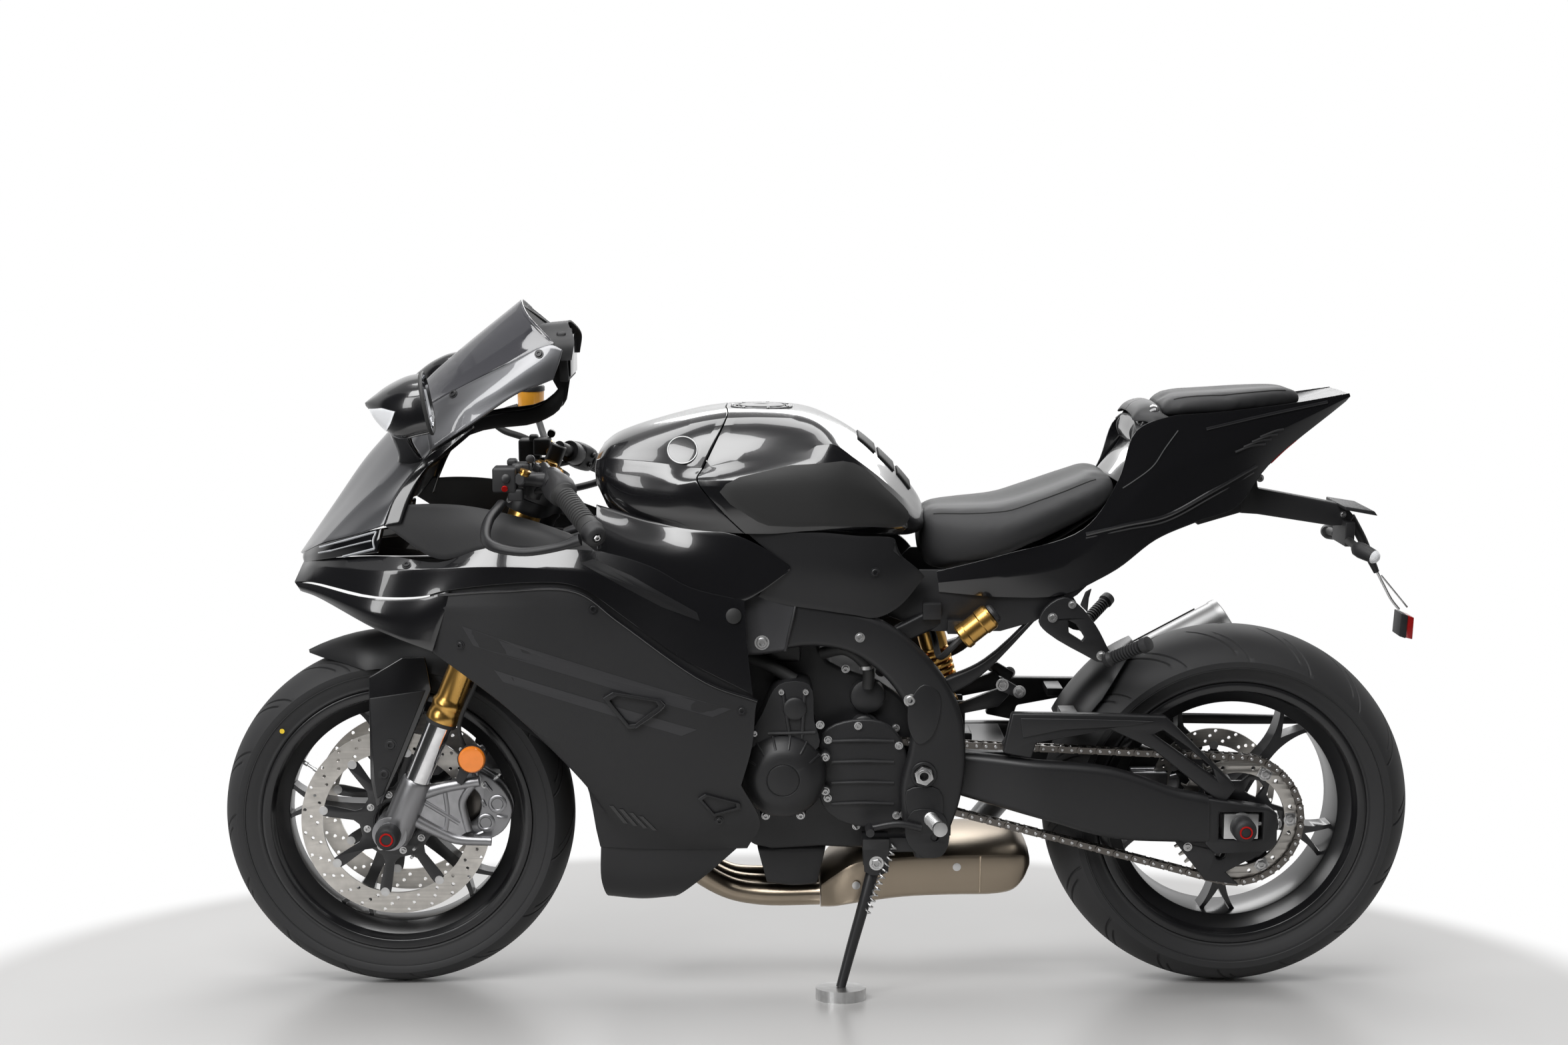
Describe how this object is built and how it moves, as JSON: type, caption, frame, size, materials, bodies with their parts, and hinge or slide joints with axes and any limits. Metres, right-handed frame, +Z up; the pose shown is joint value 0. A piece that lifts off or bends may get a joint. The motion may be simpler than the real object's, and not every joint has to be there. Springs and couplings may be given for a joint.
{
  "type": "sport motorcycle",
  "caption": "Fully faired sport motorcycle parked on its side stand, with a puck under the foot; steering, both wheels and the stand move.",
  "frame": {"origin": "middle of the leaning motorcycle on the ground, under the middle of its box", "axes": "+X forward, +Y to the rider's left, +Z up; the machine leans to +Y on its side stand"},
  "size_m": [2.035, 0.715, 1.1674],
  "materials": {
    "frame_black": "satin",
    "engine_black": "satin",
    "radiator_black": "matte",
    "titanium": "brushed, heat tinted",
    "gloss_black": "gloss lacquer",
    "smoked_screen": "smoked",
    "satin_black": "satin lacquer",
    "lamp_glass": "clear",
    "satin_metal": "satin",
    "seat_cover": "fine grain",
    "matte_plastic": "grained",
    "red_lens": "lens",
    "gold_anodised": "anodised",
    "chain_steel": "oiled",
    "bare_aluminium": "satin",
    "caliper_grey": "cast, satin",
    "wheel_black": "satin",
    "tyre": "rubber",
    "disc_steel": "ground"
  },
  "bodies": {
    "root": {"frame": "frame_black", "swingarm": "frame_black", "engine_block": "engine_black", "engine_covers": "engine_black", "radiator": "radiator_black", "exhaust_headers": "titanium", "exhaust_chamber": "titanium", "silencer": "titanium", "upper_cowl": "gloss_black", "windscreen": "smoked_screen", "side_panels": "satin_black", "upper_panels": "gloss_black", "belly_pan": "satin_black", "headlamps": "lamp_glass", "fuel_tank": "gloss_black", "tank_cover": "gloss_black", "fuel_cap": "satin_metal", "rider_seat": "seat_cover", "passenger_seat": "seat_cover", "tail_cowl": "gloss_black", "side_covers": "matte_plastic", "plate_bracket": "matte_plastic", "rear_lights": "red_lens", "footrests": "frame_black", "instrument": "matte_plastic", "mirrors": "gloss_black", "shock": "gold_anodised", "hugger": "matte_plastic", "rear_caliper": "frame_black", "chain": "chain_steel"},
    "steering": {"fork_clamps": "frame_black", "fork_tubes": "gold_anodised", "fork_sliders": "bare_aluminium", "handlebars": "frame_black", "bar_controls": "frame_black", "front_fender": "gloss_black", "front_calipers": "caliper_grey"},
    "front_wheel": {"front_rim": "wheel_black", "front_tyre": "tyre", "front_discs": "disc_steel"},
    "rear_wheel": {"rear_rim": "wheel_black", "rear_tyre": "tyre", "rear_disc": "disc_steel", "rear_sprocket": "disc_steel"},
    "stand": {"side_stand": "frame_black", "stand_puck": "bare_aluminium"}
  },
  "joints": [
    {"name": "steering_axis", "type": "hinge", "parent": "root", "child": "steering", "pos_m": [0.49135, -0.02119, 0.75897], "axis": [-0.3843, 0.151, 0.9108], "range_deg": [-25, 25]},
    {"name": "front_axle", "type": "hinge", "parent": "steering", "child": "front_wheel", "pos_m": [0.7175, -0.09794, 0.29617], "axis": [0, 0.9865, -0.1636], "continuous": true},
    {"name": "rear_axle", "type": "hinge", "parent": "root", "child": "rear_wheel", "pos_m": [-0.7025, -0.09547, 0.31108], "axis": [0, 0.9865, -0.1636], "continuous": true},
    {"name": "side_stand_hinge", "type": "hinge", "parent": "root", "child": "stand", "pos_m": [-0.0935, 0.02099, 0.23094], "axis": [0, 0.9865, -0.1636], "range_deg": [0, 95]}
  ]
}
